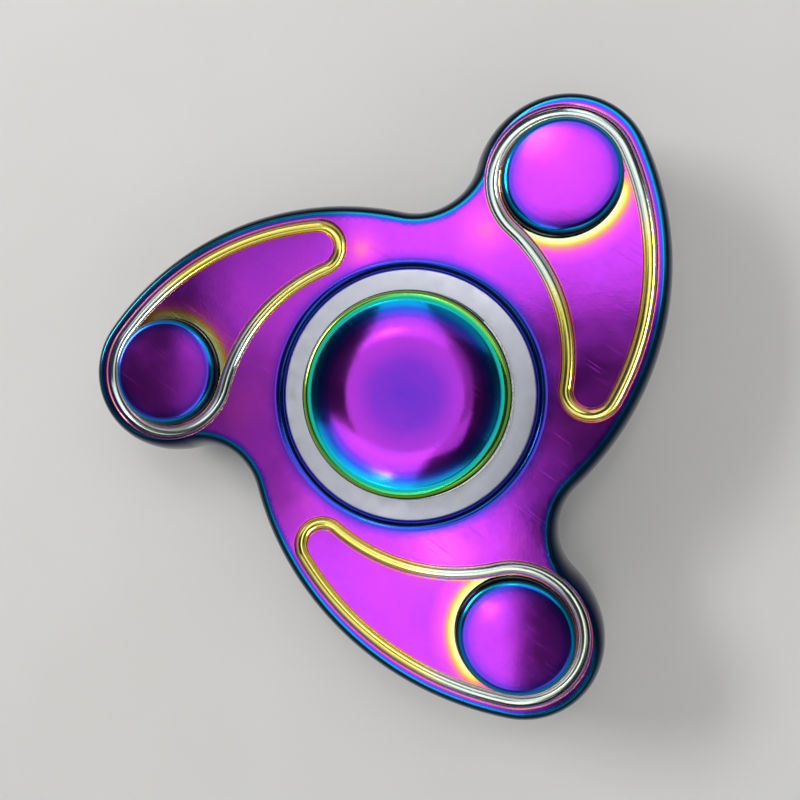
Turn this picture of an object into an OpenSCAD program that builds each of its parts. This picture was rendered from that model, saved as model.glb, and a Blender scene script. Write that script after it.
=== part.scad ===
// Three-armed hand spinner: a metal casting with three comma-shaped arms turns on a
// deep-groove ball bearing, and two thumb caps screw together through the inner race.
//
// Frame: the origin is the spin centre, on the bearing's mid-plane. +Z runs along the spin
// axis through the upper thumb cap. The first arm's weight lies on +Y. Millimetres.

/* [Casting] */
// Thickness of the casting between its two flat faces
body_t = 8; // [7.6:0.1:8.4]
// Distance from the spin axis to the centre of an arm's round head
head_dist = 22.6; // [22.3:0.1:23]
// Radius of an arm's round head
head_r = 7.45; // [7.3:0.05:7.8]
// Radius of the long curved back of an arm
back_r = 26.7; // [26:0.1:27.5]
// Direction from the head's centre to the back's centre, in degrees
back_dir = 238.7; // [237.5:0.1:240]
// Radius of the hollow between two arms
valley_r = 5.15; // [4.8:0.05:5.6]
// Width of the rounded outer edge, seen from above
edge_w = 1.15; // [1:0.05:1.2]
// Radius that rounds the mouth of the bearing seat
lip_r = 0.8; // [0.6:0.05:0.9]

/* [Groove] */
// Radius of the groove's half-round section
groove_r = 0.6; // [0.5:0.02:0.64]
// Height of the section's centre above the face
groove_lift = 0.12; // [0.05:0.01:0.2]
// Radius of the groove's path around the weight
moat_r = 5.6; // [5.55:0.01:5.7]
// Radius of the groove's path along the hub side
inner_r = 15.3; // [14.8:0.1:15.8]
// Radius of the groove's path round the tip of the tail
tail_r = 2; // [1.8:0.05:2.2]
// Direction of the tail's tip, seen from the centre of the arm's back
tail_dir = 7.5; // [6:0.5:9]

/* [Weights] */
// Distance from the spin axis to the centre of a weight
weight_dist = 22.05; // [21.9:0.05:22.2]
// Radius of a weight
weight_r = 4.9; // [4.8:0.02:4.94]
// Height of a weight's rim above the face of the casting
weight_proud = 1.1; // [0.8:0.1:1.4]
// Radius that rounds the rim of a weight
weight_round = 0.75; // [0.5:0.05:0.8]
// Rise of the weight's end from its rim to its middle
weight_dome = 0.15; // [0.05:0.05:0.3]

/* [Bearing] */
// Bore of the inner race
bearing_bore = 8; // [8:8]
// Outside diameter of the outer race
bearing_od = 22; // [22:22]
// Width of both races
bearing_w = 7; // [7:7]
// Number of balls
ball_count = 7; // [7:7]
// Diameter of a ball
ball_d = 3.969; // [3.969:3.969]
// Diameter of the circle through the centres of the balls
pitch_d = 15; // [15:15]

/* [Thumb caps] */
// Thickness of the whole spinner, over both caps
overall_h = 12; // [11.8:0.1:13]
// Radius of a cap
cap_r = 8.85; // [8.6:0.05:9]
// Depth of the thumb dish at its flat middle
dish_depth = 0.9; // [0.7:0.05:1.1]
// Radius of the dish's flat middle
dish_flat_r = 3.8; // [3.4:0.1:4.2]
// Radius that rounds the top edge of a cap
cap_round = 0.6; // [0.4:0.05:0.7]

/* [Hidden] */
$fn = 96;

arms = 3;
arm_step = 360 / arms;
half_t = body_t / 2;
half_w = bearing_w / 2;
half_h = overall_h / 2;
race_r = bearing_od / 2;
bore_r = bearing_bore / 2;
ball_r = ball_d / 2;
pitch_r = pitch_d / 2;
over = 1;                   // how far a cutter runs past the face that it cuts
edge_steps = 8;             // straight steps in the rounded edge's section
back_steps = 15;            // straight steps in each arc of the outline
head_steps = 15;
valley_steps = 8;
moat_steps = 16;            // straight steps in each arc of the groove's path
inner_steps = 8;
tail_steps = 8;
rim_steps = 10;
section_steps = 5;          // straight steps in the groove's half-round section

track_gap = 0.08;           // running gap between a ball and the bottom of its track
inner_land_r = 6;           // outside of the inner race beside its track
outer_land_r = 8.75;        // inside of the outer race beside its track
race_chamfer = 0.3;         // bevel on the corners of both races
shield_seat_r = 9.15;       // step in the outer race that the shield rests against
shield_seat_z = 2.7;
shield_t = 0.25;
shield_ri = 6.25;
shield_step = 0.12;         // height of the pressed step in a shield
snap_seat_r = 9.4;          // groove that holds the snap ring
snap_z = [2.99, 3.3];
snap_r = [8.8, 9.35];
snap_gap = 0.02;
snap_opening = 22;          // angle of the gap in the snap ring

cage_r = [6.35, 8.4];       // inside and outside of the cage
cage_t = 0.35;
pocket_r = 2.14;            // inside radius of a ball pocket
rivet_r = 0.35;
rivet_head_r = 0.6;
rivet_head_t = 0.2;

cap_under = 0.4;            // gap between the outer race and the underside of a cap
boss_r = 5.5;               // shoulder of a cap, which clamps the inner race
rim_land = 0.35;            // flat land on the rim of the dish, on which the spinner rests
stem_r = 3.98;              // hollow stem of the lower cap, in the bore of the inner race
stem_end = 3.2;
stud_r = 2.45;              // threaded stud of the upper cap
stud_hole_r = 2.5;
stud_end = -2.5;
stud_hole_end = -3;

metal_rainbow = [0.46, 0.16, 0.62];
metal_cap = [0.28, 0.26, 0.66];
metal_race = [0.66, 0.67, 0.71];
metal_bright = [0.8, 0.81, 0.83];
metal_dull = [0.58, 0.56, 0.52];

// ---- plane geometry of an arm -------------------------------------------------------------

function unit(a) = [cos(a), sin(a)];
function turn(p, a) = [p.x * cos(a) - p.y * sin(a), p.x * sin(a) + p.y * cos(a)];
function dir(from, to) = atan2(to.y - from.y, to.x - from.x);
// the same direction, raised by whole turns until it is above a start
function above(a, start) = a > start ? a : above(a + 360, start);
// point at distance ra from a and rb from b, on the left of the line from a to b
function meet(a, ra, b, rb) =
    let (d = norm(b - a), along = (d * d + ra * ra - rb * rb) / (2 * d))
    a + turn([along, sqrt(ra * ra - along * along)], dir(a, b));
// an arc in even steps, without its last point
function arc(c, r, from, to, steps) =
    [for (i = [0 : steps - 1]) c + r * unit(from + (to - from) * i / steps)];

// centres and end directions of the three arcs in an arm's outline: back, head and valley
head_c = [0, head_dist];
back_c = head_c + (back_r - head_r) * unit(back_dir);
valley_c = meet(turn(back_c, arm_step), back_r + valley_r, head_c, head_r + valley_r);
back_end = back_dir - 180;
back_start = dir(back_c, turn(valley_c, -arm_step));
head_end = above(dir(head_c, valley_c), back_end);
valley_start = head_end - 180;
valley_end = above(dir(valley_c, turn(back_c, arm_step)), valley_start - 360);

// centres of the four arcs in the groove's path: moat, back, tail and hub side
moat_c = [0, weight_dist];
rim_r = norm(moat_c - back_c) + moat_r;
tail_c = back_c + (rim_r - tail_r) * unit(tail_dir);
inner_c = meet(tail_c, inner_r + tail_r, moat_c, inner_r + moat_r);

// ---- casting ------------------------------------------------------------------------------

// The casting's outline, moved inwards by inset, with no point repeated
function outline(inset) =
    let (arm = concat(
        arc(back_c, back_r - inset, back_start, back_end, back_steps),
        arc(head_c, head_r - inset, back_end, head_end, head_steps),
        arc(valley_c, valley_r + inset, valley_start, valley_end, valley_steps)))
    [for (k = [0 : arms - 1]) for (p = arm) turn(p, k * arm_step)];

// Rounded outer edge of the casting: half an ellipse in section, round the flat slab
module edge_ring() {
    rings = [for (i = [0 : edge_steps]) let (t = -90 + 180 * i / edge_steps)
        [for (p = outline(edge_w * (1 - cos(t)))) [p.x, p.y, half_t * sin(t)]]];
    n = len(rings[0]);
    faces = [for (i = [0 : edge_steps]) for (j = [0 : n - 1])
        let (a = i * n + j, b = i * n + (j + 1) % n, up = (i + 1) % (edge_steps + 1) * n,
             c = up + j, d = up + (j + 1) % n)
        each [[a, c, d], [a, d, b]]];
    polyhedron([for (ring = rings) each ring], faces);
}

// Casting before anything is cut away: a flat slab inside its rounded edge
module blank() {
    linear_extrude(height = body_t, center = true) polygon(outline(edge_w));
    edge_ring();
}

// One arm's groove as a closed loop: each point of its path with the direction away from the
// island in the middle
function arc_frames(c, r, from, to, steps, side) =
    [for (i = [0 : steps - 1]) let (u = unit(from + (to - from) * i / steps))
        [c + r * u, side * u]];

function groove_path() =
    let (moat_start = dir(back_c, moat_c),
         moat_end = above(dir(moat_c, inner_c), moat_start),
         tail_start = above(dir(tail_c, inner_c), tail_dir))
    concat(
        arc_frames(moat_c, moat_r, moat_start, moat_end, moat_steps, 1),
        arc_frames(inner_c, inner_r, dir(inner_c, moat_c), dir(inner_c, tail_c),
            inner_steps, -1),
        arc_frames(tail_c, tail_r, tail_start, tail_dir + 360, tail_steps, 1),
        arc_frames(back_c, rim_r, tail_dir, moat_start, rim_steps, 1));

// Cutter for one groove: a half-round section, open upwards, carried round the path
module groove_cutter() {
    section = concat(
        [for (i = [0 : section_steps])
            [0, groove_lift] + groove_r * unit(180 + 180 * i / section_steps)],
        [[groove_r, over], [-groove_r, over]]);
    path = groove_path();
    n = len(path);
    m = len(section);
    points = [for (f = path) for (s = section)
        [f[0].x + s.x * f[1].x, f[0].y + s.x * f[1].y, half_t + s.y]];
    faces = [for (i = [0 : n - 1]) for (j = [0 : m - 1])
        let (a = i * m + j, b = i * m + (j + 1) % m, i2 = (i + 1) % n * m,
             c = i2 + (j + 1) % m, d = i2 + j)
        each [[a, b, c], [a, c, d]]];
    polyhedron(points, faces);
}

// Ring that rounds the mouth of the bearing seat
module lip_cutter() {
    rotate_extrude() polygon(concat(
        [[race_r - over, half_t + over], [race_r - over, half_t - lip_r]],
        [for (i = [0 : 12]) let (t = 180 - 90 * i / 12)
            [race_r + lip_r, half_t - lip_r] + lip_r * unit(t)],
        [[race_r + lip_r, half_t + over]]));
}

// Everything that is cut away from the upper face
module face_cutters() {
    for (k = [0 : arms - 1]) rotate(k * arm_step) groove_cutter();
    lip_cutter();
}

module casting() color(metal_rainbow) {
    difference() {
        blank();
        face_cutters();
        mirror([0, 0, 1]) face_cutters();
        cylinder(h = body_t + 2 * over, r = race_r, center = true);
        for (k = [0 : arms - 1]) rotate(k * arm_step) translate([0, weight_dist, 0])
            cylinder(h = body_t + 2 * over, r = weight_r, center = true);
    }
}

// ---- weights ------------------------------------------------------------------------------

// Upper half of a weight's section: domed end, rounded rim and straight side
function weight_half() =
    let (rim = half_t + weight_proud, flat = weight_r - weight_round)
    concat(
        [for (i = [0 : 8]) let (r = flat * i / 8)
            [r, rim + weight_dome * (1 - pow(r / flat, 2))]],
        [for (i = [1 : 10]) let (t = 90 - 9 * i)
            [flat, rim - weight_round] + weight_round * unit(t)]);

module weight(k) color(metal_rainbow) {
    top = weight_half();
    bottom = [for (i = [len(top) - 1 : -1 : 0]) [top[i].x, -top[i].y]];
    rotate(k * arm_step) translate([0, weight_dist, 0])
        rotate_extrude() polygon(concat(top, bottom));
}

// ---- bearing ------------------------------------------------------------------------------

module race_track() {
    rotate_extrude() translate([pitch_r, 0]) circle(ball_r + track_gap);
}

module outer_race() color(metal_race) {
    c = race_chamfer;
    half = [
        [outer_land_r, 0], [outer_land_r, shield_seat_z], [shield_seat_r, shield_seat_z],
        [shield_seat_r, snap_z[0]], [snap_seat_r, snap_z[0]], [snap_seat_r, snap_z[1]],
        [shield_seat_r, snap_z[1]], [shield_seat_r, half_w], [race_r - c, half_w],
        [race_r, half_w - c], [race_r, 0]
    ];
    difference() {
        for (side = [0, 1]) mirror([0, 0, side]) rotate_extrude() polygon(half);
        race_track();
    }
}

module inner_race() color(metal_race) {
    c = race_chamfer;
    difference() {
        rotate_extrude() polygon([
            [bore_r, -half_w + c], [bore_r + c, -half_w], [inner_land_r - c, -half_w],
            [inner_land_r, -half_w + c], [inner_land_r, half_w - c],
            [inner_land_r - c, half_w], [bore_r + c, half_w], [bore_r, half_w - c]
        ]);
        race_track();
    }
}

module on_pitch(i) {
    rotate(i * 360 / ball_count) translate([pitch_r, 0, 0]) children();
}

module ball(i) color(metal_bright) {
    on_pitch(i) sphere(ball_r);
}

module tube(r_in, r_out, h) {
    difference() {
        cylinder(h = h, r = r_out);
        translate([0, 0, -over]) cylinder(h = h + 2 * over, r = r_in);
    }
}

// One pressed half of the cage, above the mid-plane: flat tabs with a domed pocket over each
// ball
module cage_half() {
    wide = cage_r[1] - cage_r[0];
    difference() {
        union() {
            tube(cage_r[0], cage_r[1], cage_t);
            for (i = [0 : ball_count - 1]) on_pitch(i) intersection() {
                sphere(pocket_r + cage_t);
                translate([-wide / 2, -pitch_r, 0]) cube([wide, bearing_od, bearing_w]);
            }
        }
        for (i = [0 : ball_count - 1]) {
            on_pitch(i) sphere(pocket_r);
            on_pitch(i + 0.5) cylinder(h = 4 * cage_t, r = rivet_r + 0.01, center = true);
        }
    }
}

module cage_upper() color(metal_dull) cage_half();

module cage_lower() color(metal_dull) mirror([0, 0, 1]) cage_half();

module cage_rivets() color(metal_bright) {
    for (i = [0 : ball_count - 1]) on_pitch(i + 0.5) {
        cylinder(h = 2 * (cage_t + rivet_head_t), r = rivet_r, center = true);
        for (side = [0, 1]) mirror([0, 0, side]) translate([0, 0, cage_t])
            cylinder(h = rivet_head_t, r = rivet_head_r);
    }
}

// Pressed steel shield with a step half way across it
module shield() {
    z = shield_seat_z;
    mid = (shield_ri + shield_seat_r) / 2;
    t = shield_t;
    s = shield_step;
    rotate_extrude() polygon([
        [shield_ri, z - s], [mid, z - s], [mid + s, z], [shield_seat_r - 0.05, z],
        [shield_seat_r - 0.05, z + t], [mid, z + t], [mid - s, z + t - s],
        [shield_ri, z + t - s]
    ]);
}

module shield_upper() color(metal_dull) shield();

module shield_lower() color(metal_dull) mirror([0, 0, 1]) shield();

module snap_ring() {
    rotate(90 + snap_opening / 2) rotate_extrude(angle = 360 - snap_opening)
        translate([snap_r[0], snap_z[0] + snap_gap])
            square([snap_r[1] - snap_r[0], snap_z[1] - snap_z[0] - 2 * snap_gap]);
}

module snap_ring_upper() color(metal_bright) snap_ring();

module snap_ring_lower() color(metal_bright) mirror([0, 0, 1]) snap_ring();

// ---- thumb caps ---------------------------------------------------------------------------

// Section of a cap from its middle out: flat dish floor, rising dish wall, flat rim land,
// rounded edge, straight side, underside and the shoulder that meets the inner race
function cap_section(shoulder_r) =
    let (floor_z = half_h - dish_depth,
         land_r = cap_r - cap_round,
         dish_r = land_r - rim_land,
         under = half_w + cap_under,
         soft = 0.2)
    concat(
        [[0, floor_z]],
        [for (i = [0 : 12]) let (u = i / 12)
            [dish_flat_r + (dish_r - dish_flat_r) * u, floor_z + dish_depth * u * u]],
        [for (i = [0 : 8]) let (t = 90 - 90 * i / 8)
            [land_r, half_h - cap_round] + cap_round * unit(t)],
        [[cap_r, under + soft], [cap_r - soft, under], [boss_r, under],
         [boss_r, half_w], [shoulder_r, half_w]]);

module cap_upper() color(metal_cap) {
    rotate_extrude() polygon(concat(
        cap_section(stud_r),
        [[stud_r, stud_end + 0.3], [stud_r - 0.3, stud_end], [0, stud_end]]));
}

module cap_lower() color(metal_cap) mirror([0, 0, 1]) {
    rotate_extrude() polygon(concat(
        cap_section(stem_r),
        [[stem_r, -stem_end + 0.3], [stem_r - 0.3, -stem_end],
         [stud_hole_r, -stem_end], [stud_hole_r, -stud_hole_end], [0, -stud_hole_end]]));
}

// ---- nodes --------------------------------------------------------------------------------

casting();
weight(0);  // weight_1
weight(1);  // weight_2
weight(2);  // weight_3
outer_race();
inner_race();
ball(0);  // ball_1
ball(1);  // ball_2
ball(2);  // ball_3
ball(3);  // ball_4
ball(4);  // ball_5
ball(5);  // ball_6
ball(6);  // ball_7
cage_upper();
cage_lower();
cage_rivets();
shield_upper();
shield_lower();
snap_ring_upper();
snap_ring_lower();
cap_upper();
cap_lower();
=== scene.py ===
import math

import bpy
import numpy as np
from mathutils import Matrix, Vector
from mathutils.geometry import delaunay_2d_cdt


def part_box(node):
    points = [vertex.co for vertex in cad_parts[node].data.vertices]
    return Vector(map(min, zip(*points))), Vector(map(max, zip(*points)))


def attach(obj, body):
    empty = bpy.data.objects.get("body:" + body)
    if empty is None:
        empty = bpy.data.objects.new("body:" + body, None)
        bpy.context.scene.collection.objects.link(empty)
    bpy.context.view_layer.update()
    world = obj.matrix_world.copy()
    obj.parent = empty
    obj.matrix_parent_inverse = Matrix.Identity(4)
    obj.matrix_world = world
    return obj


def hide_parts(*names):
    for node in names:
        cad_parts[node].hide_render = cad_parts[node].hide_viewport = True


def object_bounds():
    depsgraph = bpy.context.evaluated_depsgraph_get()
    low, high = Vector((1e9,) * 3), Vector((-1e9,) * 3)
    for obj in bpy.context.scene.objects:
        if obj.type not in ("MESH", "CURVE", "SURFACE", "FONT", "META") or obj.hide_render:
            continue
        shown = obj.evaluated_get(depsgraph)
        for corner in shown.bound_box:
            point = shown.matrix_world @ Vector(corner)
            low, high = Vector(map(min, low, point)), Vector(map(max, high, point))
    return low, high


# Looks of a rainbow-coated hand spinner around its CAD frame. Lengths are in millimetres until a
# mesh, light or camera is made, and angles are in degrees.

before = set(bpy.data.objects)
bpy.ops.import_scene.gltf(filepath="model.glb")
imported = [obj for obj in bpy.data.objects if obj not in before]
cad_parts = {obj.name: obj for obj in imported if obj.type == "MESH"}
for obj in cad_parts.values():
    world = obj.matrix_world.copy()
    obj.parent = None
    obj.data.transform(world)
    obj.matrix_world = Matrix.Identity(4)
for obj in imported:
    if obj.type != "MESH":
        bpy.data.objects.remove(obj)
cad_low, cad_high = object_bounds()

MM = 0.001
ARMS = 3
ARM_STEP = 360 / ARMS

# ---- sizes, the same as the CAD part's unless a comment says otherwise ----------------------

half_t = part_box("casting")[1].z / MM
half_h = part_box("cap_upper")[1].z / MM
half_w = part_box("outer_race")[1].z / MM
race_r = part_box("outer_race")[1].x / MM
cap_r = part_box("cap_upper")[1].x / MM

head_dist = 22.6         # from the spin axis to the middle of an arm's head
head_r = 7.45            # outline round the head
back_r = 26.7            # outline along the arm's back
back_dir = 238.7         # direction from the head's centre to the back's
valley_r = 5.15          # outline between one arm's back and the next arm's head
edge_w = 1.3             # width of the rounded edge, seen from above, and 1.15 in the CAD part
lip_r = 0.8              # rounding of the face at the bearing seat

groove_r = 0.6           # radius of the groove's section
groove_lift = 0.12       # height of that section's centre above the face
moat_r = 5.6             # groove round the weight
inner_r = 15.3           # groove along the tail's inner side
tail_r = 2.0             # groove round the tail's tip
tail_dir = 7.5           # direction from the back's centre to the tip's
shoulder = 0.05          # softens the corners of the groove, which are sharp in the CAD part

weight_dist = 22.05      # from the spin axis to a weight's centre
weight_r = 4.9
weight_proud = 1.1       # height of a weight's rim above the face
weight_round = 0.75      # rounding of its rim
weight_dome = 0.15       # height of its middle above its rim
weight_gap = 0.02        # crevice between a weight and the casting, not in the CAD part
hole_round = 0.08        # rounding of the casting's edge at that crevice, not in the CAD part


# ---- plane geometry -------------------------------------------------------------------------

def unit(angle):
    a = np.radians(angle)
    return np.stack([np.cos(a), np.sin(a)], -1)


def turn(p, angle):
    c, s = math.cos(math.radians(angle)), math.sin(math.radians(angle))
    return np.asarray(p, float) @ np.array([[c, s], [-s, c]])


def direction(start, end):
    v = end - start
    return math.degrees(math.atan2(v[1], v[0]))


def above(angle, start):
    """The same direction, raised by whole turns until it is above a start."""
    return start + (angle - start) % 360


def meet(a, ra, b, rb):
    """The point at distance ra from a and rb from b, on the left of the line from a to b."""
    d = np.linalg.norm(b - a)
    along = (d * d + ra * ra - rb * rb) / (2 * d)
    return a + turn([along, math.sqrt(ra * ra - along * along)], direction(a, b))


def smooth(low, high, x):
    """0 below low, 1 above high and an even S between them."""
    u = np.clip((x - low) / (high - low), 0, 1)
    return u * u * (3 - 2 * u)


head_c = np.array([0, head_dist])
back_c = head_c + (back_r - head_r) * unit(back_dir)
valley_c = meet(turn(back_c, ARM_STEP), back_r + valley_r, head_c, head_r + valley_r)
back_end = back_dir - 180
back_start = direction(back_c, turn(valley_c, -ARM_STEP))
head_end = above(direction(head_c, valley_c), back_end)
valley_start = head_end - 180
valley_end = above(direction(valley_c, turn(back_c, ARM_STEP)), valley_start - 360)

weight_c = np.array([0, weight_dist])
rim_r = np.linalg.norm(weight_c - back_c) + moat_r
tail_c = back_c + (rim_r - tail_r) * unit(tail_dir)
inner_c = meet(tail_c, inner_r + tail_r, weight_c, inner_r + moat_r)
moat_start = direction(back_c, weight_c)
moat_end = above(direction(weight_c, inner_c), moat_start)
tail_start = above(direction(tail_c, inner_c), tail_dir)

# Each arc: centre, radius, first and last direction, and +1 where its centre is on the inside
OUTLINE = [
    (back_c, back_r, back_start, back_end, 1),
    (head_c, head_r, back_end, head_end, 1),
    (valley_c, valley_r, valley_start, valley_end, -1),
]
GROOVE = [
    (weight_c, moat_r, moat_start, moat_end, 1),
    (inner_c, inner_r, direction(inner_c, weight_c), direction(inner_c, tail_c), -1),
    (tail_c, tail_r, tail_start, tail_dir + 360, 1),
    (back_c, rim_r, tail_dir, moat_start, 1),
]


def loop(arcs, outwards, spacing):
    """Points along joined arcs, moved outwards, with about that spacing before the move."""
    rows = []
    for centre, radius, first, last, side in arcs:
        steps = max(8, round(math.radians(abs(last - first)) * radius / spacing))
        angles = first + (last - first) * np.arange(steps) / steps
        rows.append(centre + (radius + side * outwards) * unit(angles))
    return np.concatenate(rows)


def three(points):
    """The same points on each arm."""
    return np.concatenate([turn(points, k * ARM_STEP) for k in range(ARMS)])


FAR = 99.0               # stands for the distance where no arc is near


def outward(points, arcs):
    """How far points in an arm's frame are outwards of its arcs, and FAR where none is near."""
    best = np.full(len(points), FAR)
    for centre, radius, first, last, side in arcs:
        low, high = min(first, last) - 0.3, max(first, last) + 0.3
        v = points - centre
        angle = np.degrees(np.arctan2(v[:, 1], v[:, 0]))
        gap = side * (np.hypot(v[:, 0], v[:, 1]) - radius)
        near = ((angle - low) % 360 <= high - low) & (np.abs(gap) < np.abs(best))
        best = np.where(near, gap, best)
    return best


def nearest(points, arcs):
    """The smallest of outward() over the arms, and points in the frame of the arm that has it."""
    best = np.full(len(points), FAR)
    local = points.copy()
    for k in range(ARMS):
        own = turn(points, -k * ARM_STEP)
        gap = outward(own, arcs)
        near = np.abs(gap) < np.abs(best)
        best = np.where(near, gap, best)
        local[near] = own[near]
    return best, local


def arm_of(points):
    """Each point in the frame of the arm whose weight is nearest, and that arm's number."""
    owns = [turn(points, -k * ARM_STEP) for k in range(ARMS)]
    far = np.stack([np.hypot(*(own - weight_c).T) for own in owns])
    number = far.argmin(0)
    return np.stack(owns)[number, np.arange(len(points))], number


# ---- shape of the casting's upper face ------------------------------------------------------

def soft_min(a, b, width):
    """The smaller of a and b, with the corner between them rounded over a width."""
    h = np.clip(0.5 + 0.5 * (b - a) / width, 0, 1)
    return b + (a - b) * h - width * h * (1 - h)


def face_height(points):
    """Height of the casting's upper face over points of the plane."""
    inset = -nearest(points, OUTLINE)[0]
    u = np.clip(1 - inset / edge_w, 0, 0.999)
    z = half_t * np.sqrt(1 - u * u)
    rho = np.hypot(points[:, 0], points[:, 1])
    v = np.clip((race_r + lip_r - rho) / lip_r, 0, 0.999)
    z = np.minimum(z, half_t - lip_r * (1 - np.sqrt(1 - v * v)))
    own, _ = arm_of(points)
    q = np.hypot(*(own - weight_c).T) - weight_r - weight_gap
    w = np.clip(1 - q / hole_round, 0, 0.999)
    z = z - hole_round * (1 - np.sqrt(1 - w * w))
    s = np.abs(nearest(points, GROOVE)[0])
    reach = groove_r * 0.995
    wall = half_t + groove_lift - np.sqrt(groove_r ** 2 - np.minimum(s, reach) ** 2)
    wall = wall + np.clip(s - reach, 0, None) * 10
    return soft_min(z, wall, shoulder)


def face_normals(points):
    """Normals of that face, from its heights a small step to each side."""
    step = 0.004
    dx = face_height(points + [step, 0]) - face_height(points - [step, 0])
    dy = face_height(points + [0, step]) - face_height(points - [0, step])
    n = np.stack([-dx, -dy, np.full(len(points), 2 * step)], 1)
    return n / np.linalg.norm(n, axis=1)[:, None]


# ---- thickness of the coating, 0 (thin, silver) to 1; its dark teal to navy end, above about 0.83, is painted shade ---

FLAT = 0.52              # purple, on the flat faces
SILVER = 0.03            # in the groove round a weight
GOLD = 0.17              # in the groove round the tail
GROOVE_WALL_SHADE = 0.94         # painted shade: thin dark line high on both walls of the groove

# along the rounded edge the coat rises through blue and cyan; its dark teal to navy end nearest the
# outline is painted shade
EDGE_INSET = [0, 0.9, 1.1, 1.22, 1.34, 1.5, 1.8]  # distance in from the outline
EDGE_COAT_AND_SHADE = [1.0, 0.98, 0.93, 0.84, 0.74, 0.62, FLAT]
LIP_RHO = [11.0, 11.15, 11.25, 11.4, 11.6, 11.9, 12.5]
LIP_COAT = [0.655, 0.66, 0.67, 0.685, 0.66, 0.58, FLAT]


def face_coat_and_shade(points):
    """Thickness of the coating on the casting's upper face, with painted shade: dark teal to navy
    near the outline and a thin dark line high on each wall of the groove.
    """
    inset = -nearest(points, OUTLINE)[0]
    coat_and_shade = np.interp(inset, EDGE_INSET, EDGE_COAT_AND_SHADE)
    rho = np.hypot(points[:, 0], points[:, 1])
    coat_and_shade = np.where(rho < 12.5, np.interp(rho, LIP_RHO, LIP_COAT), coat_and_shade)

    own, number = arm_of(points)
    q = np.hypot(*(own - weight_c).T)
    around = np.degrees(np.arctan2(*(own - weight_c)[:, ::-1].T))
    s, local = nearest(points, GROOVE)
    crescent = 1 - smooth(55, 95, np.abs((around + 42 + 180) % 360 - 180))
    thin = np.interp(q, [4.9, 5.25, 5.7, 6.2, 7.2], [0.09, 0.12, 0.30, 0.43, FLAT])
    inside = (s < -0.4) & (q < 8)
    coat_and_shade = np.where(inside, coat_and_shade + (thin - FLAT) * crescent * smooth(0.4, 0.7, -s), coat_and_shade)

    # paler, warmer patches: at the hub side of a head and beyond the tip of a tail
    for spot, size, strengths in (
        (np.array([-2.6, 15.3]), 2.0, (0.13, 0.05, 0.04)),
        (np.array([12.3, 5.2]), 1.3, (0.02, 0.15, 0.02)),
    ):
        for k in range(ARMS):
            far = np.linalg.norm(turn(points, -k * ARM_STEP) - spot, axis=1)
            coat_and_shade = coat_and_shade - strengths[k] * np.exp(-(far / size) ** 2) * (np.abs(coat_and_shade - FLAT) < 0.08)

    # the groove: silver round the weight, gold along the tail
    gq = np.hypot(*(local - weight_c).T)
    on_back = np.abs(np.hypot(*(local - back_c).T) - rim_r) < 1
    fade = np.where(on_back, smooth(6.2, 9.5, gq), smooth(6.6, 11.5, gq))
    floor = SILVER + (GOLD - SILVER) * fade
    mix = smooth(0.54, 0.68, np.abs(s))
    coat_and_shade = np.where(np.abs(s) < 0.68, floor + (coat_and_shade - floor) * mix, coat_and_shade)
    # painted shade: a thin dark line high on each wall of the groove
    wall_shade = 0.9 * np.exp(-((np.abs(s) - 0.52) / 0.035) ** 2)
    return coat_and_shade + (GROOVE_WALL_SHADE - coat_and_shade) * wall_shade


# ---- meshes ---------------------------------------------------------------------------------

def finish_mesh(name, points, faces, coat_and_shade=None, normals=None, sharp=None):
    """A smooth-shaded object from points in millimetres, with its coating and painted shade as an
    attribute.
    """
    mesh = bpy.data.meshes.new(name)
    mesh.from_pydata((np.asarray(points) * MM).tolist(), [], faces)
    mesh.validate()
    mesh.shade_smooth()
    if coat_and_shade is not None:
        mesh.attributes.new("coat_and_shade", "FLOAT", "POINT").data.foreach_set(
            "value", np.asarray(coat_and_shade, np.float32))
    if normals is not None:
        mesh.normals_split_custom_set_from_vertices(normals.tolist())
    if sharp is not None:
        mesh.set_sharp_from_angle(angle=math.radians(sharp))
    obj = bpy.data.objects.new(name, mesh)
    bpy.context.scene.collection.objects.link(obj)
    return obj


def between(first, second, flip=False):
    """Faces that join two closed rows of vertex numbers."""
    faces = []
    for i in range(len(first)):
        j = (i + 1) % len(first)
        quad = [first[i], first[j], second[j], second[i]]
        faces.append(quad[::-1] if flip else quad)
    return faces


def circle(centre, radius, count):
    """Evenly spread points of a circle."""
    return np.asarray(centre) + radius * unit(360 * np.arange(count) / count)


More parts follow.
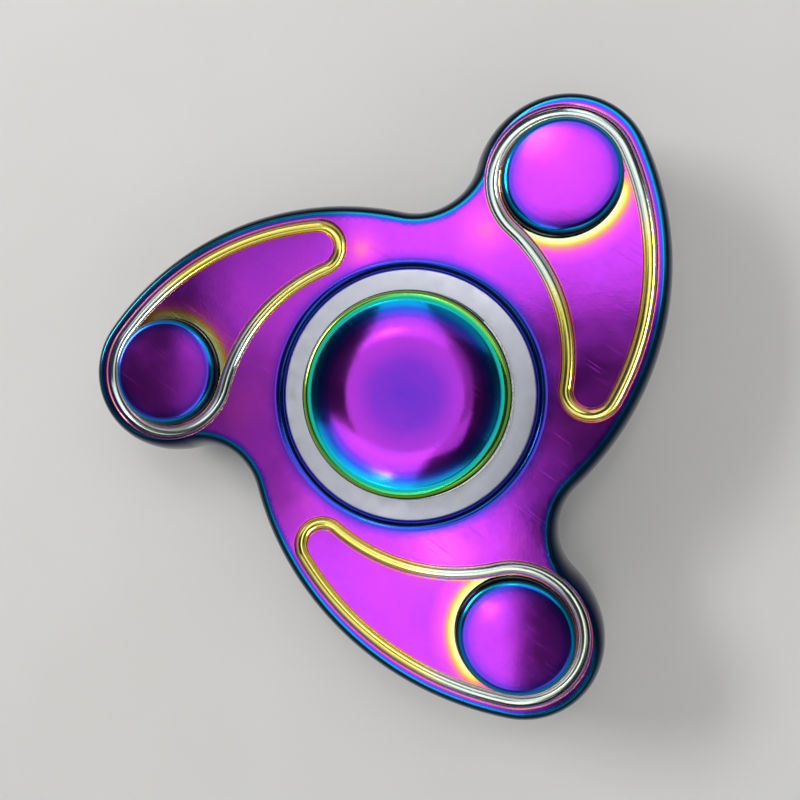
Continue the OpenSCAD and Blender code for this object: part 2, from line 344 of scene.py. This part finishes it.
def casting_mesh():
    """The casting, from rows of points along its features that a triangulation joins."""
    side_t = 38                                   # slope angle where the side skin begins
    outline_gap = 0.3
    border = three(loop(OUTLINE, -edge_w * (1 - math.cos(math.radians(side_t))), outline_gap))
    lip_t = np.array([12, 20, 28, 36, 45, 54, 63, 72, 81, 90])
    lip_rho = race_r + lip_r - lip_r * np.cos(np.radians(lip_t))
    mouth = circle((0, 0), lip_rho[0], 288)
    holes = [turn(circle(weight_c, weight_r + weight_gap, 144), k * ARM_STEP)
             for k in range(ARMS)]

    rows = [border, mouth, *holes]
    loops = []
    start = 0
    for row in rows:
        loops.append(np.arange(start, start + len(row)))
        start += len(row)

    loose = []
    for t in (44, 50, 56, 62, 68, 74, 80, 86, 90, 95):
        inset = edge_w * (1 - math.cos(math.radians(t)))
        row = three(loop(OUTLINE, -inset, outline_gap))
        loose.append(row[np.abs(nearest(row, GROOVE)[0]) > 0.8])
    for rho in (*lip_rho[1:], race_r + lip_r + 0.15, race_r + lip_r + 0.4):
        loose.append(circle((0, 0), rho, 288))
    for q in (0.015, 0.04, 0.08, 0.14, 0.24, 0.4, 0.6, 0.85, 1.15, 1.5, 1.9, 2.4):
        row = three(circle(weight_c, weight_r + weight_gap + q, 144))
        near = nearest(row, GROOVE)[0]
        loose.append(row[(np.abs(near) > 0.8) & (near < FAR)])
    side_rows = (0.09, 0.18, 0.28, 0.37, 0.45, 0.51, 0.55, 0.585, 0.62, 0.68, 0.76)
    for s in (0, *side_rows, *[-s for s in side_rows]):
        row = three(loop(GROOVE, s, 0.24))
        own, _ = arm_of(row)
        loose.append(row[np.hypot(*(own - weight_c).T) > weight_r + weight_gap + 0.01])
    cell = 0.45
    count = int(32 / cell)
    i, j = np.meshgrid(np.arange(-count, count + 1), np.arange(-count, count + 1))
    grid = np.stack([(i + 0.5 * (j % 2)).ravel() * cell, j.ravel() * cell * 0.866], 1)
    inset = -nearest(grid, OUTLINE)[0]
    own, _ = arm_of(grid)
    keep = inset > edge_w + 0.25
    keep &= np.abs(nearest(grid, GROOVE)[0]) > 0.95
    keep &= np.hypot(*grid.T) > race_r + lip_r + 0.6
    keep &= np.hypot(*(own - weight_c).T) > weight_r + 2.7
    keep &= np.hypot(*grid.T) < 32
    loose.append(grid[keep])

    flat = np.concatenate([*rows, *loose])
    edges = [(int(ring[n]), int(ring[(n + 1) % len(ring)])) for ring in loops
             for n in range(len(ring))]
    made, _, triangles, origin, _, _ = delaunay_2d_cdt(
        [Vector(p) for p in flat], edges, [], 0, 1e-5)
    flat = np.array([tuple(p) for p in made])
    renamed = {old: new for new, olds in enumerate(origin) for old in olds}
    loops = [[renamed[int(v)] for v in ring] for ring in loops]

    middle = flat[np.array(triangles)].mean(1)
    inset = -nearest(middle, OUTLINE)[0]
    own, _ = arm_of(middle)
    border_inset = edge_w * (1 - math.cos(math.radians(side_t)))
    keep = (inset > border_inset - 0.002) & (np.hypot(*middle.T) > lip_rho[0] - 0.001)
    keep &= np.hypot(*(own - weight_c).T) > weight_r + weight_gap - 0.001
    upper = [list(t) for t, k in zip(triangles, keep) if k]

    n = len(flat)
    z = face_height(flat)
    normals = face_normals(flat)
    coat_and_shade = face_coat_and_shade(flat)
    points = [np.column_stack([flat, z]), np.column_stack([flat, -z])]
    all_normals = [normals, normals * [1, 1, -1]]
    coats = [coat_and_shade, coat_and_shade]
    faces = upper + [[v + n for v in t[::-1]] for t in upper]
    total = 2 * n

    def add_row(plane, height, normal, coating):
        nonlocal total
        points.append(np.column_stack([plane, np.full(len(plane), height)]))
        all_normals.append(normal)
        coats.append(np.full(len(plane), coating))
        total += len(plane)
        return list(range(total - len(plane), total))

    # outer side, painted near-black navy as shade
    out = three(loop(OUTLINE, 1, outline_gap)) - three(loop(OUTLINE, 0, outline_gap))
    last = loops[0]
    for t in (30, 22, 14, 7, 0, -7, -14, -22, -30):
        c, s = math.cos(math.radians(t)), math.sin(math.radians(t))
        plane = three(loop(OUTLINE, -edge_w * (1 - c), outline_gap))
        normal = np.column_stack([out * c / edge_w, np.full(len(out), s / half_t)])
        normal /= np.linalg.norm(normal, axis=1)[:, None]
        row = add_row(plane, half_t * s, normal, EDGE_COAT_AND_SHADE[0])
        faces += between(last, row, flip=True)
        last = row
    faces += between(last, [v + n for v in loops[0]], flip=True)

    # bearing seat and the holes of the weights, whose walls are painted near-black navy as shade
    def wall(ring, centre, radius, heights, coating):
        spokes = flat[ring] - centre
        spokes /= np.linalg.norm(spokes, axis=1)[:, None]
        inwards = np.column_stack([-spokes, np.zeros(len(ring))])
        last = ring
        for height in heights:
            row = add_row(centre + radius * spokes, height, inwards, coating)
            faces.extend(between(last, row))
            last = row
        faces.extend(between(last, [v + n for v in ring]))

    wall(loops[1], np.zeros(2), race_r, (half_t - lip_r, lip_r - half_t), LIP_COAT[0])
    for k in range(ARMS):
        centre = turn(weight_c, k * ARM_STEP)
        depth = half_t - 2 * hole_round
        wall(loops[2 + k], centre, weight_r + weight_gap, (depth, -depth), EDGE_COAT_AND_SHADE[0])

    return finish_mesh("casting_body", np.concatenate(points), faces,
                       np.concatenate(coats), np.concatenate(all_normals))


def lathe(name, section, centre=(0, 0), count=256, coat_and_shade=None, sharp=28):
    """Turns a closed section of (radius, height) rows round a vertical axis."""
    section = np.asarray(section, float)
    angles = 360 * np.arange(count) / count
    spokes = unit(angles)
    points = []
    faces = []
    coats = []
    rows = []
    for index, (r, z) in enumerate(section):
        value = 0 if coat_and_shade is None else coat_and_shade[index]
        start = len(points)
        if r < 1e-6:
            points.append((centre[0], centre[1], z))
            rows.append([start] * count)
            coats.append(value)
            continue
        points.extend((centre[0] + r * x, centre[1] + r * y, z) for x, y in spokes)
        rows.append(list(range(start, start + count)))
        coats.extend([value] * count)
    closed = section[0][0] > 1e-6 or section[-1][0] > 1e-6
    pairs = list(zip(rows, rows[1:])) + ([(rows[-1], rows[0])] if closed else [])
    for low, high in pairs:
        for face in between(low, high):
            kept = list(dict.fromkeys(face))
            if len(kept) > 2:
                faces.append(kept)
    return finish_mesh(name, points, faces, None if coat_and_shade is None else coats, sharp=sharp)


def rounded(r, z, radius, first, last, steps):
    """Section points round a corner whose rounding has its centre at (r, z)."""
    t = np.radians(np.linspace(first, last, steps))
    return np.column_stack([r + radius * np.cos(t), z + radius * np.sin(t)])


def weight_mesh(k):
    """A weight that goes right through arm k, slightly domed on both faces."""
    rim = half_t + weight_proud
    flat_r = weight_r - weight_round
    r = np.linspace(0, flat_r, 12)[:-1]
    dome = np.column_stack([r, rim + weight_dome * (1 - (r / flat_r) ** 2)])
    top = np.concatenate([dome, rounded(flat_r, rim - weight_round, weight_round, 88, 0, 14),
                          [[weight_r, half_t + 0.1]]])
    section = np.concatenate([top, top[::-1] * [1, -1]])
    r, z = np.abs(section).T
    # coating across the weight's face; the dark navy on the outer part of the rounded rim and the
    # near-black sides (0.97) are painted shade
    face = np.interp(r, [0, 3.1, 3.8, 4.2, 4.45, 4.6, 4.75, 4.9],
                     [0.52, 0.53, 0.565, 0.63, 0.70, 0.80, 0.93, 0.99])
    coat_and_shade = np.where(z < rim - weight_round, 0.97, face)
    centre = turn(weight_c, k * ARM_STEP)
    return lathe(f"weight_slug_{k + 1}", section[::-1], centre, 160, coat_and_shade[::-1], sharp=60)


def cap_mesh(side, inside):
    """A thumb cap, upper for side 1 and lower for side -1, with its own stem or stud inside."""
    dish_depth = 0.9
    dish_flat_r = 3.8
    cap_round = 0.6
    rim_land = 0.35
    soft = 0.2               # chamfer under the cap
    floor_z = half_h - dish_depth
    land_r = cap_r - cap_round
    dish_r = land_r - rim_land
    under = half_w + 0.4
    boss_r = 5.5
    r = np.concatenate([np.linspace(0, dish_flat_r, 10),
                        np.linspace(dish_flat_r, dish_r, 40)[1:]])
    rise = np.clip((r - dish_flat_r) / (dish_r - dish_flat_r), 0, 1) ** 2
    dish = np.column_stack([r, floor_z + dish_depth * rise])
    edge = rounded(land_r, half_h - cap_round, cap_round, 90, 0, 16)
    skirt = [[cap_r, under + soft], [cap_r - soft, under], [boss_r, under], [boss_r, half_w]]
    section = np.concatenate([dish, edge, skirt, inside])
    # coating across the cap by radius; the dark green from 8.7 mm out, and on the cap's side and
    # underside (0.96), is painted shade
    coat_and_shade = np.interp(section[:, 0],
                     [0, 2.8, 4.2, 5.6, 6.4, 6.9, 7.4, 7.8, 8.05, 8.15, 8.35, 8.45, 8.6, 8.72, 8.9],
                     [0.60, 0.585, 0.545, 0.52, 0.56, 0.64, 0.70, 0.755, 0.79, 0.835, 0.87, 0.895,
                      0.91, 0.95, 0.99])
    shaded_side = (section[:, 0] > cap_r - 0.02) | (np.arange(len(section)) >= len(dish) + len(edge))
    coat_and_shade = np.where(shaded_side, 0.96, coat_and_shade)
    if side > 0:
        section, coat_and_shade = section[::-1], coat_and_shade[::-1]
    return lathe("cap_near" if side > 0 else "cap_far", section * [1, side], (0, 0), 320, coat_and_shade)


def race_mesh():
    """The bearing's outer race, with its ball track and its snap-ring grooves."""
    corner_r = 0.2           # a 0.3 bevel in the CAD part
    ball_r = 3.969 / 2
    track_r = ball_r + 0.08
    pitch_r = 7.5
    land_r = 8.75            # beside the track
    bore_r = 9.15            # round the shield
    ring_r = 9.4             # bottom of the snap-ring groove
    ring_high = 3.3
    ring_low = 2.99
    shelf = 2.7              # where the shield sits
    track_half = math.sqrt(track_r ** 2 - (land_r - pitch_r) ** 2)
    half_angle = math.degrees(math.asin(track_half / track_r))
    track = rounded(pitch_r, 0, track_r, half_angle, 0, 12)[:-1]
    corner = rounded(race_r - corner_r, half_w - corner_r, corner_r, 0, 90, 7)
    half = np.concatenate([
        [[race_r, 0]], corner,
        [[bore_r, half_w], [bore_r, ring_high], [ring_r, ring_high], [ring_r, ring_low],
         [bore_r, ring_low], [bore_r, shelf], [land_r, shelf]],
        track])
    section = np.concatenate([half, [[pitch_r + track_r, 0]], (half * [1, -1])[:0:-1]])
    return lathe("race_outer", section, (0, 0), 288)


# ---- node helpers ---------------------------------------------------------------------------

class Nodes:
    """A material's nodes, with short calls to add and join them."""

    def __init__(self, name):
        self.material = bpy.data.materials.new(name)
        self.material.use_nodes = True
        self.tree = self.material.node_tree
        self.shader = self.tree.nodes["Principled BSDF"]

    def add(self, kind, **settings):
        node = self.tree.nodes.new(kind)
        for key, value in settings.items():
            setattr(node, key, value)
        return node

    def join(self, output, socket):
        self.tree.links.new(output, socket)

    def noise(self, coordinates, scale, detail=3.0, rough=0.5):
        node = self.add("ShaderNodeTexNoise")
        node.inputs["Scale"].default_value = scale
        node.inputs["Detail"].default_value = detail
        node.inputs["Roughness"].default_value = rough
        self.join(coordinates, node.inputs["Vector"])
        return node.outputs["Fac"]

    def mapped(self, coordinates, scale, rotation=(0, 0, 0), place=(0, 0, 0)):
        node = self.add("ShaderNodeMapping")
        node.inputs["Scale"].default_value = scale
        node.inputs["Rotation"].default_value = [math.radians(a) for a in rotation]
        node.inputs["Location"].default_value = place
        self.join(coordinates, node.inputs["Vector"])
        return node.outputs["Vector"]

    def math(self, operation, a, b=0.0):
        node = self.add("ShaderNodeMath", operation=operation)
        for value, socket in zip((a, b), node.inputs):
            if isinstance(value, (int, float)):
                socket.default_value = value
            else:
                self.join(value, socket)
        return node.outputs[0]

    def spread(self, value, low, high, new_low, new_high):
        node = self.add("ShaderNodeMapRange")
        for socket, number in zip(list(node.inputs)[1:5], (low, high, new_low, new_high)):
            socket.default_value = number
        self.join(value, node.inputs["Value"])
        return node.outputs["Result"]

    def ramp(self, value, stops):
        node = self.add("ShaderNodeValToRGB")
        ramp = node.color_ramp
        while len(ramp.elements) < len(stops):
            ramp.elements.new(0.5)
        for element, (place, colour) in zip(ramp.elements, stops):
            element.position = place
            element.color = (*[linear(c) for c in colour], 1)
        self.join(value, node.inputs["Fac"])
        return node.outputs["Color"]

    def scratches(self, coordinates, angle, fineness=1.0):
        """Thin straight lines at an angle: 1 on a scratch and 0 off it."""
        lines = self.mapped(coordinates, (90 * fineness, 4200 * fineness, 90), (0, 0, angle),
                            (angle, 0, 0))
        field = self.noise(lines, 1.0, 2.0, 0.6)
        patches = self.noise(self.mapped(coordinates, (1, 1, 1), (0, 0, 0), (angle, 3, 1)), 300)
        lines = self.spread(field, 0.66, 0.72, 0, 1)
        return self.math("MULTIPLY", lines, self.spread(patches, 0.45, 0.6, 0, 1))

    def bump(self, height, strength, distance):
        node = self.add("ShaderNodeBump")
        node.inputs["Strength"].default_value = strength
        node.inputs["Distance"].default_value = distance
        self.join(height, node.inputs["Height"])
        self.join(node.outputs["Normal"], self.shader.inputs["Normal"])


def linear(c):
    """A colour channel of 0 to 255 as linear light."""
    c = c / 255
    return c / 12.92 if c <= 0.04045 else ((c + 0.055) / 1.055) ** 2.4


# ---- materials ------------------------------------------------------------------------------

# Colours of the coating from thin to thick, then the two ways that the thickest end goes on, whose
# darkest stops are painted shade
RAINBOW = [
    (0.00, (208, 228, 232)),
    (0.06, (224, 236, 214)),
    (0.12, (254, 250, 176)),
    (0.18, (248, 238, 112)),
    (0.25, (255, 186, 96)),
    (0.32, (255, 136, 160)),
    (0.42, (238, 84, 226)),
    (0.52, (204, 66, 243)),
    (0.60, (122, 58, 224)),
    (0.68, (44, 86, 222)),
    (0.75, (12, 168, 226)),
]
# dark teal to navy: painted shade on the edges and sides of the casting and weights
DARK_EDGE_SHADE = [(0.83, (10, 122, 140)), (0.91, (10, 50, 78)), (1.00, (16, 24, 56))]
# cyan to yellow-green coating, then dark green that is painted shade on the caps' edge and side
GREEN_EDGE_AND_SHADE = [(0.82, (30, 196, 164)), (0.87, (70, 206, 110)), (0.91, (170, 214, 70)),
              (0.95, (40, 110, 76)), (1.00, (22, 62, 52))]


def rainbow(name, thick_end_and_shade, rough, wander):
    """Polished metal under an interference coating whose thickness the mesh carries; the dark thick
    end of the ramp paints shade.
    """
    m = Nodes(name)
    place = m.add("ShaderNodeTexCoord").outputs["Object"]
    coat_and_shade = m.add("ShaderNodeAttribute", attribute_name="coat_and_shade").outputs["Fac"]
    drift = m.spread(m.noise(place, 110, 2.0), 0.3, 0.7, -wander, wander)
    mottle = m.spread(m.noise(place, 1500, 4.0, 0.6), 0.3, 0.7, -0.3 * wander, 0.3 * wander)
    value = m.math("ADD", m.math("ADD", coat_and_shade, drift), mottle)
    m.join(m.ramp(value, RAINBOW + thick_end_and_shade), m.shader.inputs["Base Color"])
    m.shader.inputs["Metallic"].default_value = 1.0
    lines = m.math("MAXIMUM", m.scratches(place, 24), m.scratches(place, 71, 1.3))
    lines = m.math("MAXIMUM", lines, m.scratches(place, 130, 0.8))
    haze = m.spread(m.noise(place, 260, 3.0), 0.3, 0.7, rough - 0.03, rough + 0.05)
    m.join(m.math("ADD", haze, m.math("MULTIPLY", lines, 0.06)), m.shader.inputs["Roughness"])
    grain = m.noise(place, 5200, 2.0)
    wavy = m.noise(place, 420, 2.0)
    height = m.math("ADD", m.math("MULTIPLY", grain, 0.25), m.math("MULTIPLY", wavy, 1.2))
    height = m.math("SUBTRACT", height, m.math("MULTIPLY", lines, 0.25))
    m.bump(height, 0.2, 0.00003)
    return m.material


def steel(name, colour, darker, rough, fine):
    """Bare steel: ground, pressed or polished, by its roughness and the size of its marks."""
    m = Nodes(name)
    place = m.add("ShaderNodeTexCoord").outputs["Object"]
    cloud = m.noise(place, 420, 4.0, 0.6)
    m.join(m.ramp(cloud, [(0.3, darker), (0.7, colour)]), m.shader.inputs["Base Color"])
    m.shader.inputs["Metallic"].default_value = 1.0
    m.join(m.spread(m.noise(place, 900, 3.0), 0.3, 0.7, rough - 0.05, rough + 0.07),
           m.shader.inputs["Roughness"])
    lines = m.math("MAXIMUM", m.scratches(place, 12), m.scratches(place, 98, 1.2))
    height = m.math("SUBTRACT", m.noise(place, fine, 3.0), m.math("MULTIPLY", lines, 0.4))
    m.bump(height, 0.3, 0.00002)
    return m.material


def floor_material():
    """Pale, faintly uneven table."""
    m = Nodes("pale_table")
    place = m.add("ShaderNodeTexCoord").outputs["Object"]
    m.join(m.ramp(m.noise(place, 30, 4.0), [(0.3, (241, 240, 237)), (0.7, (247, 246, 244))]),
           m.shader.inputs["Base Color"])
    m.shader.inputs["Roughness"].default_value = 0.75
    m.bump(m.noise(place, 900, 3.0), 0.15, 0.0001)
    return m.material


def dress(obj, material, body=None, nodes=()):
    """Gives a piece its material and, with a body, parents it to that body's empty and hides the
    CAD nodes it replaces.
    """
    obj.data.materials.clear()
    obj.data.materials.append(material)
    if body:
        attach(obj, body)
        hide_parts(*nodes)


# ---- the pieces -----------------------------------------------------------------------------

coated = rainbow("rainbow_casting", DARK_EDGE_SHADE, 0.15, 0.018)
coated_weight = rainbow("rainbow_weights", DARK_EDGE_SHADE, 0.17, 0.016)
coated_cap = rainbow("rainbow_caps", GREEN_EDGE_AND_SHADE, 0.13, 0.010)
ground_steel = steel("ground_steel", (222, 224, 236), (212, 214, 228), 0.40, 2600)
pressed_steel = steel("pressed_steel", (176, 174, 168), (150, 148, 142), 0.42, 1500)
bright_steel = steel("bright_steel", (226, 228, 232), (212, 214, 218), 0.12, 4000)

dress(casting_mesh(), coated, "rotor", ["casting"])
for k in range(ARMS):
    dress(weight_mesh(k), coated_weight, "rotor", [f"weight_{k + 1}"])
dress(race_mesh(), ground_steel, "rotor", ["outer_race"])
stud_r = 2.45            # of the upper cap, and its end
stud_end = -2.5
dress(cap_mesh(1, [[stud_r, half_w], [stud_r, stud_end + 0.3], [stud_r - 0.3, stud_end],
                   [0, stud_end]]),
      coated_cap, "thumb_hub", ["cap_upper"])
stem_r = 3.98            # of the lower cap, as if it pointed up, and the hole for the stud
stem_end = -3.2
hole_r = 2.5
hole_end = 3.0
dress(cap_mesh(-1, [[stem_r, half_w], [stem_r, stem_end + 0.3], [stem_r - 0.3, stem_end],
                    [hole_r, stem_end], [hole_r, hole_end], [0, hole_end]]),
      coated_cap, "thumb_hub", ["cap_lower"])

for name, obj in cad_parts.items():
    if obj.hide_render:
        continue
    if name.startswith("ball") or name.startswith("snap") or name == "cage_rivets":
        dress(obj, bright_steel)
    elif name == "inner_race":
        dress(obj, ground_steel)
    else:
        dress(obj, pressed_steel)

# ---- floor, light and camera ----------------------------------------------------------------

VIEW_TURN = 35.67        # turn of the photographed spinner: image right lies this far round from +X


def look_from(eye, target):
    """Matrix of something at eye that looks at target, with image up as its up."""
    e, t = Vector(eye), Vector(target)
    back = (e - t).normalized()
    right = Vector((0, 1, 0)).cross(back).normalized()
    rotation = Matrix((right, back.cross(right), back)).transposed().to_4x4()
    turned = Matrix.Rotation(math.radians(VIEW_TURN), 4, "Z")
    return turned @ Matrix.Translation(e * MM) @ rotation


half = 3.0               # half the table's side, in metres
floor_mesh = bpy.data.meshes.new("table_top")
floor_mesh.from_pydata([(-half, -half, 0), (half, -half, 0), (half, half, 0), (-half, half, 0)],
                       [], [(0, 1, 2, 3)])
table_top = bpy.data.objects.new("table_top", floor_mesh)
table_top.location.z = cad_low.z
bpy.context.scene.collection.objects.link(table_top)
floor_mesh.materials.append(floor_material())


CEILING = 450            # height of the softboxes above the spinner
CORE_HEIGHT = 430        # height of their small bright cores


def softbox(name, right, up, radiance, height=CEILING):
    """An even panel overhead between two tilts to image right and two to image up."""
    x = [height * math.tan(math.radians(a)) for a in right]
    y = [height * math.tan(math.radians(a)) for a in up]
    lamp = bpy.data.lights.new(name, "AREA")
    lamp.shape = "RECTANGLE"
    lamp.size = (x[1] - x[0]) * MM
    lamp.size_y = (y[1] - y[0]) * MM
    lamp.energy = radiance * math.pi * lamp.size * lamp.size_y
    middle = (sum(x) / 2, sum(y) / 2)
    obj = bpy.data.objects.new(name, lamp)
    obj.matrix_world = look_from((*middle, height), (*middle, 0))
    bpy.context.scene.collection.objects.link(obj)


softbox("softbox_top", (-12, 20), (9, 45), 1.25)
softbox("softbox_top_core", (-2, 5), (27, 33), 8, CORE_HEIGHT)
softbox("softbox_top_right", (20, 48), (14, 46), 0.8)
softbox("softbox_top_left", (-46, -12), (32, 50), 0.8)
softbox("softbox_middle", (-15, 4), (-8, 9), 0.8)
softbox("softbox_left_low", (-23, -15), (-12, 6), 0.27)
softbox("softbox_left_high", (-23, -12), (6, 17), 0.6)
softbox("softbox_bottom", (-18, 4), (-38, -8), 1.2)
softbox("softbox_bottom_core", (-4, -1), (-14, -12), 8, CORE_HEIGHT)
softbox("softbox_bottom_left", (-48, -21), (-50, -18), 0.3)
softbox("softbox_bottom_right", (14, 45), (-50, -34), 0.8)
softbox("key", (-62, -50), (15, 50), 15)


HORIZON_TOP, HORIZON_LOW = 0.72, 0.58    # sines of the elevations where the horizon's light fades
ZENITH_LIGHT, HORIZON_LIGHT = 0.035, 0.32


def studio_world():
    """Dim overhead, bright round the horizon."""
    world = bpy.data.worlds.new("studio")
    world.use_nodes = True
    tree = world.node_tree
    place = tree.nodes.new("ShaderNodeTexCoord")
    parts = tree.nodes.new("ShaderNodeSeparateXYZ")
    level = tree.nodes.new("ShaderNodeMapRange")
    level.interpolation_type = "SMOOTHSTEP"
    sizes = (HORIZON_TOP, HORIZON_LOW, ZENITH_LIGHT, HORIZON_LIGHT)
    for socket, number in zip(list(level.inputs)[1:5], sizes):
        socket.default_value = number
    tree.links.new(place.outputs["Generated"], parts.inputs[0])
    tree.links.new(parts.outputs["Z"], level.inputs["Value"])
    background = tree.nodes["Background"]
    background.inputs["Color"].default_value = (1.0, 1.0, 1.0, 1.0)
    tree.links.new(level.outputs["Result"], background.inputs["Strength"])
    bpy.context.scene.world = world


studio_world()
bpy.context.scene.view_settings.view_transform = "Standard"

camera = bpy.data.cameras.new("camera")
camera.sensor_width = 36
camera.lens = 31.5
camera.shift_x = 0.071
camera.clip_start = 0.001
camera_object = bpy.data.objects.new("camera", camera)
camera_object.matrix_world = look_from((6.18, -0.88, 64.29), (-6.30, -0.43, 0))
bpy.context.scene.collection.objects.link(camera_object)
bpy.context.scene.camera = camera_object
